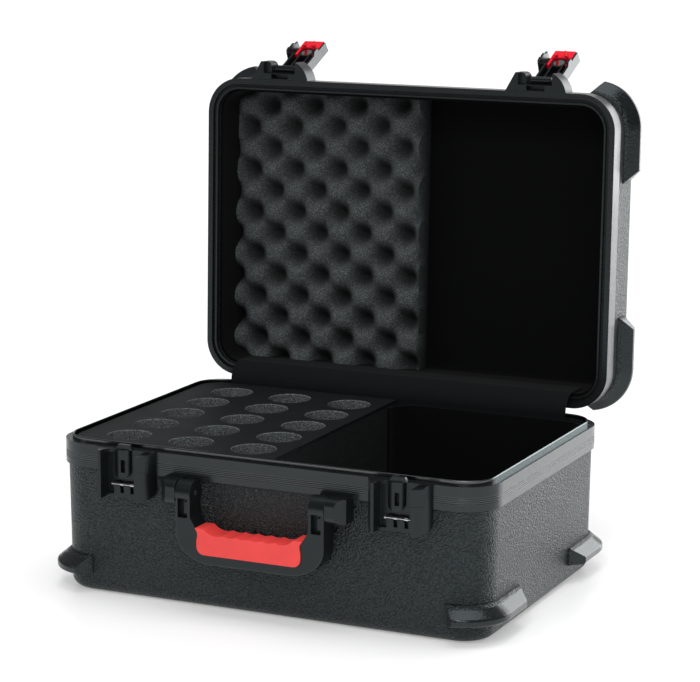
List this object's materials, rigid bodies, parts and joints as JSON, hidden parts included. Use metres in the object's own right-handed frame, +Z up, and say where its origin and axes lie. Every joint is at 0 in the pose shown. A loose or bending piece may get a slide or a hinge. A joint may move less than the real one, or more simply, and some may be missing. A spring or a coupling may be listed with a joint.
{
  "type": "microphone case",
  "caption": "Moulded microphone case with a foam block of round drops, a storage compartment, a hinged lid lined with egg crate foam, two lever latches and a folding handle.",
  "frame": {"origin": "centre of the flat underside of the base, on the floor", "axes": "+X right, +Y to the back and the hinges, +Z up; the lid stands open in the rest pose"},
  "size_m": [0.544, 0.5, 0.5834],
  "materials": {
    "moulded_shell": "pebbled moulded polyethylene, dark charcoal",
    "frame_metal": "black anodised extrusion",
    "seal_rubber": "soft black cord seal",
    "block_foam": "open-cell charcoal foam",
    "top_sheet": "smooth black closed-cell foam sheet",
    "lining_fabric": "deep black lining",
    "crate_foam": "convoluted charcoal foam",
    "flap_fabric": "thin black lining flap",
    "steel": "zinc-plated steel",
    "lock_steel": "nickel-plated key barrel",
    "fitting_plastic": "glass-filled nylon, charcoal",
    "release_plastic": "bright red acetal",
    "grip_rubber": "soft coral red rubber"
  },
  "bodies": {
    "base": {"base_frame": "frame_metal", "base_hinge_leaf_left": "frame_metal", "base_hinge_leaf_right": "frame_metal", "base_hinge_rivets": "steel", "base_shell": "moulded_shell", "compartment_lining": "lining_fabric", "handle_mount_left": "fitting_plastic", "handle_mount_right": "fitting_plastic", "handle_pin_left": "steel", "handle_pin_right": "steel", "hinge_flap_base": "flap_fabric", "hinge_pin_left": "steel", "hinge_pin_right": "steel", "latch_receiver_left": "fitting_plastic", "latch_receiver_right": "fitting_plastic", "latch_striker_left": "steel", "latch_striker_right": "steel", "mic_foam_block": "block_foam", "mic_foam_top_sheet": "top_sheet"},
    "lid": {"egg_crate_foam": "crate_foam", "hinge_flap_lid": "flap_fabric", "latch_bracket_left": "fitting_plastic", "latch_bracket_right": "fitting_plastic", "latch_pin_left": "steel", "latch_pin_right": "steel", "lid_frame": "frame_metal", "lid_hinge_leaf_left": "frame_metal", "lid_hinge_leaf_right": "frame_metal", "lid_hinge_rivets": "steel", "lid_lining": "lining_fabric", "lid_seal": "seal_rubber", "lid_shell": "moulded_shell"},
    "handle": {"handle_bail": "fitting_plastic", "handle_grip": "grip_rubber"},
    "lever_left": {"latch_lever_left": "fitting_plastic"},
    "lever_right": {"latch_lever_right": "fitting_plastic"},
    "release_left": {"latch_release_left": "release_plastic"},
    "release_right": {"latch_release_right": "release_plastic"},
    "lock_left": {"latch_lock_left": "lock_steel"},
    "lock_right": {"latch_lock_right": "lock_steel"}
  },
  "joints": [
    {"name": "lid_hinge", "type": "hinge", "parent": "base", "child": "lid", "pos_m": [0, 0.187, 0.1735], "axis": [1, 0, 0], "range_deg": [0, 91.6]},
    {"name": "handle_swing", "type": "hinge", "parent": "base", "child": "handle", "pos_m": [-0.0024, -0.1945, 0.1335], "axis": [-1, 0, 0], "range_deg": [0, 100]},
    {"name": "lever_swing_left", "type": "hinge", "parent": "lid", "child": "lever_left", "pos_m": [-0.1645, 0.21353, 0.55041], "axis": [1, 0, 0], "range_deg": [0, 154]},
    {"name": "release_slide_left", "type": "slide", "parent": "lever_left", "child": "release_left", "axis": [0, 0.9107, 0.4131], "range_m": [0, 0.0037], "stiffness_N_per_m": 250, "springref_m": -0.002},
    {"name": "lock_turn_left", "type": "hinge", "parent": "lever_left", "child": "lock_left", "pos_m": [-0.16115, 0.26242, 0.57093], "axis": [0, 0.4131, -0.9107], "range_deg": [0, 90]},
    {"name": "lever_swing_right", "type": "hinge", "parent": "lid", "child": "lever_right", "pos_m": [0.1625, 0.21353, 0.55041], "axis": [1, 0, 0], "range_deg": [0, 154]},
    {"name": "release_slide_right", "type": "slide", "parent": "lever_right", "child": "release_right", "axis": [0, 0.9107, 0.4131], "range_m": [0, 0.0037], "stiffness_N_per_m": 250, "springref_m": -0.002},
    {"name": "lock_turn_right", "type": "hinge", "parent": "lever_right", "child": "lock_right", "pos_m": [0.16585, 0.26242, 0.57093], "axis": [0, 0.4131, -0.9107], "range_deg": [0, 90]}
  ]
}
